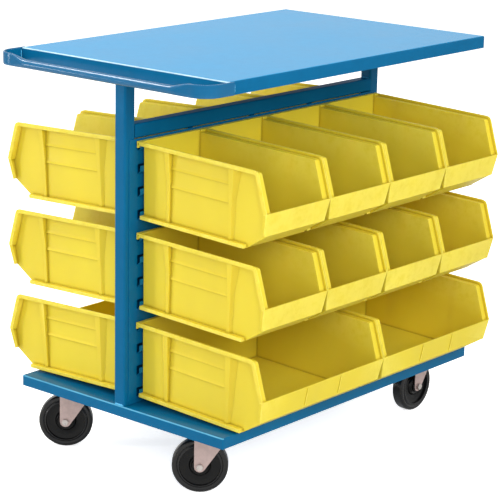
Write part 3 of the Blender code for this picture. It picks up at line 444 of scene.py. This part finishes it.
# One side of each profile from the bore out, in millimetres: (distance from the middle plane, radius)
TYRE_SEAT = [(9.0, 45.6), (12.6, 46.0)]
TYRE_BEAD = arc((14.9, 47.4), 1.0, 250, 360, 4) + [(15.9, 48.0), (15.75, 48.4), (15.4, 48.8)]
TYRE_GROOVE = [(13.3, 51.0), (13.1, 51.4), (13.3, 51.9)]
TYRE_WALL = [(14.6, 53.2), (15.1, 54.4), (15.0, 55.8)]
TYRE_TREAD = arc((7.9, 56.3), 7.2, 6, 82, 9) + [(4.6, 63.45), (0.0, 63.5)]
CORE_HUB = [(17.4, 7.9), (17.4, 12.0)] + arc((15.9, 13.6), 1.5, 10, 90, 4) + [(13.2, 15.6)]
CORE_STEP = [(12.2, 17.2), (12.6, 19.2), (13.4, 20.0), (13.5, 20.6), (13.2, 21.1), (10.9, 23.5), (7.4, 25.0)]
CORE_DISH = [(6.6, 27.0), (6.4, 36.0), (7.4, 42.0), (9.4, 46.2), (9.4, 47.0)]
WHEEL_SIDES = 96


def both_sides(side):
    """The profile of one side and its mirror image, in metres."""
    mirrored = [(-along, radius) for along, radius in reversed(side) if along]
    return [(along * MM, radius * MM) for along, radius in side + mirrored]


def add_wheel(caster):
    joint = JOINTS[caster + "_roll"]
    node = caster + "_wheel"
    tyre = both_sides(TYRE_SEAT + TYRE_BEAD + TYRE_GROOVE + TYRE_WALL + TYRE_TREAD)
    core = both_sides(CORE_HUB + CORE_STEP + CORE_DISH)
    place = (WHEEL_SIDES, joint["axis"], joint["pos_m"], "black_rubber", BODY_OF[node])
    turned(node + "_tyre", tyre, *place, stands_for=node)
    turned(node + "_core", core, *place, material=WHEEL_CORE)


# Welds

BEAD_SIDES = 10
# How far apart a bead's rings are, as a share of its radius, and how deep and how quick its ripples are
BEAD_SPACING = 0.28
RIPPLE_DEPTH = 0.22
RIPPLE_TURN = 0.5
BEAD_END_SHARE = 0.25
POST_WELD_INSET = 3 * MM
POST_WELD_RISE = 0.6 * MM
POST_FOOT_BEAD = 3.2 * MM
POST_HEAD_BEAD = 1.8 * MM
RAIL_WELD_INSET = 4 * MM
RAIL_BEAD = 1.6 * MM
HANDLE_END_BEAD = 4.0 * MM
HANDLE_END_BEAD_PROUD = 0.9 * MM
HANDLE_END_BEAD_MARGINS = (3 * MM, 4 * MM)
HANDLE_CORNER_BEAD = 1.7 * MM
HANDLE_CORNER_BEAD_PROUD = 0.2 * MM
HANDLE_CORNER_BEAD_MARGINS = (4 * MM, 6 * MM)


def weld_bead(name, start, end, radius):
    """A ridged bead between two points, swelling at each ripple and tapering at its ends."""
    start, end = Vector(start), Vector(end)
    last = max(2, round((end - start).length / (radius * BEAD_SPACING)))
    ahead = (end - start).normalized()
    side = ahead.orthogonal().normalized()
    up = ahead.cross(side)
    rings = []
    for step in range(last + 1):
        ripple = 1 - RIPPLE_DEPTH * abs(sin(step * RIPPLE_TURN))
        taper = min(1.0, BEAD_END_SHARE * (1 + min(step, last - step)))
        place = start.lerp(end, step / last)
        rings.append(circle_points(place, side, up, radius * ripple * taper, BEAD_SIDES))
    add_piece(name, mesh_of(name, lofted(rings)), "blue_paint", "cart_frame", material=WELD_PAINT)


def bead_across(name, box, x, z, inset, radius):
    """A bead along Y at x and z, kept in from both sides of the box by the inset."""
    low, high = box
    weld_bead(name, (x, low[Y] + inset, z), (x, high[Y] - inset, z), radius)


def bead_upright(name, x, y, box, margins, radius):
    """A bead along Z at x and y, kept in from the bottom and the top of the box by the margins."""
    low, high = box
    weld_bead(name, (x, y, low[Z] + margins[0]), (x, y, high[Z] - margins[1]), radius)


def add_post_welds():
    for post in ("post_handle_end", "post_far_end"):
        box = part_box(post)
        foot, head = box[0][Z] + POST_WELD_RISE, box[1][Z] - POST_WELD_RISE
        for side, x in (("outer", box[0][X]), ("inner", box[1][X])):
            bead_across(f"{post}_foot_weld_{side}", box, x, foot, POST_WELD_INSET, POST_FOOT_BEAD)
            bead_across(f"{post}_head_weld_{side}", box, x, head, POST_WELD_INSET, POST_HEAD_BEAD)


def add_rail_welds():
    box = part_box("top_rail")
    for end, x in (("near", box[0][X]), ("far", box[1][X])):
        for level, z in (("top", box[1][Z]), ("bottom", box[0][Z])):
            bead_across(f"rail_weld_{end}_{level}", box, x, z, RAIL_WELD_INSET, RAIL_BEAD)


def add_handle_welds():
    handle_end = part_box("push_handle")[1][X]
    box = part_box("worktop")
    for side, y, outward in (("front", box[0][Y], -1), ("back", box[1][Y], 1)):
        end_x = handle_end + HANDLE_END_BEAD_PROUD
        end_y = y + outward * HANDLE_END_BEAD_PROUD
        name = f"handle_weld_{side}_end"
        bead_upright(name, end_x, end_y, box, HANDLE_END_BEAD_MARGINS, HANDLE_END_BEAD)
        corner_x = box[0][X] - HANDLE_CORNER_BEAD_PROUD
        corner_y = y + outward * HANDLE_CORNER_BEAD_PROUD
        name = f"handle_weld_{side}_corner"
        bead_upright(name, corner_x, corner_y, box, HANDLE_CORNER_BEAD_MARGINS, HANDLE_CORNER_BEAD)


# Caster plate bolts

BOLT_FLATS = 12 * MM
BOLT_HEAD = 6 * MM
BOLT_EDGE = 0.35 * MM
BOLT_INSET = 11 * MM
BOLT_CHAMFER_START = 0.8
BOLT_CHAMFER_SHARE = 0.86
WASHER = 1.6 * MM
WASHER_SIDES = 28
WASHER_BORE = BOLT_FLATS * 0.3
WASHER_RADIUS = BOLT_FLATS * 0.98
WASHER_TOP_RADIUS = BOLT_FLATS * 0.9
WASHER_EDGE_START = 0.8
PLATE_SHEET = 3.0 * MM
DOWN = Vector((0, 0, -1))


def add_plate_bolt(name, seat):
    """A chamfered hexagon head and its washer, hanging from a seat on the plate's underside."""
    side = DOWN.orthogonal().normalized()
    up = DOWN.cross(side)
    corner = BOLT_FLATS / 2 / cos(pi / 6)
    rings = [
        circle_points(seat + DOWN * height, side, up, radius, 6)
        for height, radius in (
            (WASHER, corner),
            (WASHER + BOLT_HEAD * BOLT_CHAMFER_START, corner),
            (WASHER + BOLT_HEAD, corner * BOLT_CHAMFER_SHARE),
        )
    ]
    mesh = mesh_of(name, lofted(rings))
    head = add_piece(name, mesh, "zinc_plate", "cart_frame", material=BOLT_PLATING)
    round_edges(head, BOLT_EDGE)
    profile = [
        (0, WASHER_BORE),
        (0, WASHER_RADIUS),
        (WASHER * WASHER_EDGE_START, WASHER_RADIUS),
        (WASHER, WASHER_TOP_RADIUS),
        (WASHER, WASHER_BORE),
    ]
    turned(name + "_washer", profile, WASHER_SIDES, DOWN, seat, "zinc_plate", "cart_frame")


def add_plate_bolts(caster):
    """Four bolts, numbered along X and then along Y."""
    low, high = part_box(caster + ("_plate" if caster.startswith("swivel") else "_bracket"))
    number = 0
    for x in (low[X] + BOLT_INSET, high[X] - BOLT_INSET):
        for y in (low[Y] + BOLT_INSET, high[Y] - BOLT_INSET):
            number += 1
            add_plate_bolt(f"{caster}_plate_bolt_{number}", Vector((x, y, high[Z] - PLATE_SHEET)))


# Push handle

HANDLE_RADIUS = 9.5 * MM
HANDLE_FLAT_HALF_THICKNESS = 2.4 * MM
HANDLE_FLAT_HALF_HEIGHT = 14.3 * MM
HANDLE_FLAT_SQUARENESS = 1.6
HANDLE_DROP = 19 * MM
HANDLE_BEND = 42 * MM
HANDLE_TAPER = 58 * MM
HANDLE_END_STEP = 1.2 * MM
HANDLE_EDGE = 0.5 * MM
HANDLE_SIDES = 40
HANDLE_BEND_STEPS = 24
HANDLE_TAPER_STEPS = 18


def handle_path(low, high):
    """Stations of (x, y, heading, flatness) from one flattened end round to the other."""
    leg_y = HANDLE_FLAT_HALF_THICKNESS - high[Y]
    bar_x = low[X] + HANDLE_RADIUS
    bend_x = bar_x + HANDLE_BEND
    bend_y = leg_y + HANDLE_BEND
    stations = [(high[X], leg_y, pi, 1.0), (high[X] - HANDLE_END_STEP, leg_y, pi, 1.0)]
    for step in range(HANDLE_BEND_STEPS + 1):
        turn = step / HANDLE_BEND_STEPS * pi / 2
        stations.append((bend_x - HANDLE_BEND * sin(turn), bend_y - HANDLE_BEND * cos(turn), pi - turn, 1.0))
    for step in range(1, HANDLE_TAPER_STEPS + 1):
        share = step / HANDLE_TAPER_STEPS
        flatness = 1 - share * share * (3 - 2 * share)
        stations.append((bar_x, bend_y + share * HANDLE_TAPER, pi / 2, flatness))
    return stations + [(x, -y, pi - heading, flatness) for x, y, heading, flatness in reversed(stations)]


def handle_ring(place, heading, flatness):
    """The tube's section, from round to pressed flat with its corners squared."""
    thick = HANDLE_RADIUS + (HANDLE_FLAT_HALF_THICKNESS - HANDLE_RADIUS) * flatness
    tall = HANDLE_RADIUS + (HANDLE_FLAT_HALF_HEIGHT - HANDLE_RADIUS) * flatness
    power = 1 / (1 + HANDLE_FLAT_SQUARENESS * flatness)
    across = Vector((-sin(heading), cos(heading), 0))
    ring = []
    for k in range(HANDLE_SIDES):
        turn = k / HANDLE_SIDES * tau
        point = place + across * thick * copysign(abs(cos(turn)) ** power, cos(turn))
        point.z += tall * copysign(abs(sin(turn)) ** power, sin(turn))
        ring.append(point)
    return ring


def add_handle():
    top_low, top_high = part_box("worktop")
    flat_drop = (top_high[Z] - top_low[Z]) / 2
    rings = []
    for x, y, heading, flatness in handle_path(*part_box("push_handle")):
        level = top_high[Z] - HANDLE_DROP + flatness * (HANDLE_DROP - flat_drop)
        rings.append(handle_ring(Vector((x, y, level)), heading, flatness))
    round_edges(add_dressed("push_handle", lofted(rings), HANDLE_PAINT), HANDLE_EDGE)


# The dressed cart

WORKTOP_FOLD = 3.6 * MM
DECK_FOLD = 3.0 * MM
POST_CORNER = 2.6 * MM
RAIL_CORNER = 2.2 * MM
FOLDED_EDGE = 0.4 * MM
PLAIN_EDGE = 0.6 * MM

for caster_name in CASTERS:
    add_wheel(caster_name)
add_handle()
dress_folded("worktop", Z, WORKTOP_FOLD, FOLDED_EDGE, WORKTOP_PAINT, folded_top=True)
dress_folded("base_deck", Z, DECK_FOLD, FOLDED_EDGE, DECK_PAINT, folded_top=True)
dress_folded("post_handle_end", Z, POST_CORNER, FOLDED_EDGE, POST_PAINT)
dress_folded("post_far_end", Z, POST_CORNER, FOLDED_EDGE, POST_PAINT)
dress_folded("top_rail", X, RAIL_CORNER, FOLDED_EDGE, RAIL_PAINT)
ALREADY_DRESSED = {"push_handle", "worktop", "base_deck", "post_handle_end", "post_far_end", "top_rail"}
for node_name in nodes:
    if node_name not in ALREADY_DRESSED and not node_name.endswith("_wheel"):
        is_fastener = node_name.endswith(("axle_bolt", "axle_nut", "kingpin"))
        dress(node_name, PLAIN_EDGE, BOLT_PLATING if is_fastener else None)
add_post_welds()
add_rail_welds()
add_handle_welds()
for caster_name in CASTERS:
    add_plate_bolts(caster_name)


# Stage, lamps and camera

FLOOR_SIZE = 60
FLOOR_ROUGHNESS = 0.9
# How strongly the floor glows to each kind of ray that looks at it, on top of the lamps' light
FLOOR_GLOW = {"Camera": 0.7, "Glossy": 0.1, "Transmission": 0.7}
WORLD_STRENGTH = 0.48
WORLD_SEEN = {"Camera": 1, "Glossy": 1, "Transmission": 1}
# Each lamp's name, place, target, width, height and watts, and whether glossy surfaces show it
LAMPS = (
    ("high", (-1.36, 2.3, 3.6), (-0.42, 0, 0.94), 2.4, 0.6, 85, True),
    ("low_left", (-3.0, 2.9, 0.62), (-0.35, 0, 0.1), 0.5, 0.6, 14, True),
    ("behind", (3.2, 3.0, 3.2), (0, 0, 0.5), 2.0, 2.0, 60, False),
    ("left", (-3.6, 3.2, 2.1), (-0.2, 0, 0.5), 0.45, 1.2, 44, False),
    ("front", (-0.2, -4.4, 2.7), (0, 0, 0.5), 1.5, 1.5, 105, False),
    ("camera_side", (-3.2, -3.0, 2.2), (0, 0, 0.5), 2.0, 2.0, 95, False),
)

# The camera: its lens in picture widths, its heading, fall and roll, and its place from the cart's origin
FOCAL_WIDTHS = 1961.6 / 500
SENSOR = 36
HEADING = radians(49.708)
FALL = radians(14.848)
ROLL = radians(1.153)
CAMERA_PLACE = Vector((-3.4244, -2.9184, 1.6511))


def seen_by(tree, shares):
    """The share of the kind of ray that is looking, and 0 for the rays that light the object."""
    path = add_node(tree, "LightPath")
    largest = 0.0
    for kind, share in shares.items():
        looking = multiply(tree, path.outputs[f"Is {kind} Ray"], share)
        largest = add_node(tree, "Math", {0: looking, 1: largest}, operation="MAXIMUM").outputs["Value"]
    return largest


def add_stage():
    """A floor that looks white and still keeps the object's shadow."""
    bpy.ops.mesh.primitive_plane_add(size=FLOOR_SIZE, location=(0, 0, 0))
    floor = bpy.context.object
    floor.name = "floor"
    material, tree, shader = new_material("pale_floor", WHITE, FLOOR_ROUGHNESS, specular=0.0)
    colour = add_mix(tree, seen_by(tree, {"Camera": 1}), FLOOR_GREY, WHITE)
    connect(tree, shader.inputs["Base Color"], colour)
    connect(tree, shader.inputs["Emission Color"], WHITE)
    connect(tree, shader.inputs["Emission Strength"], seen_by(tree, FLOOR_GLOW))
    floor.data.materials.append(material)


def add_world():
    """Even light from all round, which looks white where it is seen."""
    world = bpy.data.worlds.new("studio")
    bpy.context.scene.world = world
    world.use_nodes = True
    tree = world.node_tree
    background = tree.nodes["Background"]
    connect(tree, background.inputs["Color"], WHITE)
    strength = add_node(tree, "Mix", {"Factor": seen_by(tree, WORLD_SEEN), "A": WORLD_STRENGTH, "B": 1})
    connect(tree, background.inputs["Strength"], strength.outputs["Result"])


def add_lamp(name, place, target, width, height, watts, mirrored):
    """A soft rectangular lamp."""
    light = bpy.data.lights.new(name, "AREA")
    light.shape = "RECTANGLE"
    light.size = width
    light.size_y = height
    light.energy = watts
    lamp = bpy.data.objects.new(name, light)
    bpy.context.scene.collection.objects.link(lamp)
    lamp.location = place
    lamp.visible_glossy = mirrored
    aim = Vector(target) - Vector(place)
    lamp.rotation_euler = aim.to_track_quat("-Z", "Y").to_euler()


def add_camera():
    ahead = Vector((sin(HEADING) * cos(FALL), cos(HEADING) * cos(FALL), -sin(FALL)))
    level_right = Vector((cos(HEADING), -sin(HEADING), 0))
    level_up = level_right.cross(ahead)
    right = cos(ROLL) * level_right + sin(ROLL) * level_up
    up = -sin(ROLL) * level_right + cos(ROLL) * level_up
    data = bpy.data.cameras.new("photo_camera")
    data.sensor_width = SENSOR
    data.lens = FOCAL_WIDTHS * SENSOR
    camera = bpy.data.objects.new("photo_camera", data)
    bpy.context.scene.collection.objects.link(camera)
    turn = Matrix((right, up, -ahead)).transposed().to_4x4()
    camera.matrix_world = Matrix.Translation(CAMERA_PLACE) @ turn
    bpy.context.scene.camera = camera


add_stage()
add_world()
for lamp_values in LAMPS:
    add_lamp(*lamp_values)
add_camera()
bpy.context.scene.view_settings.view_transform = "Standard"
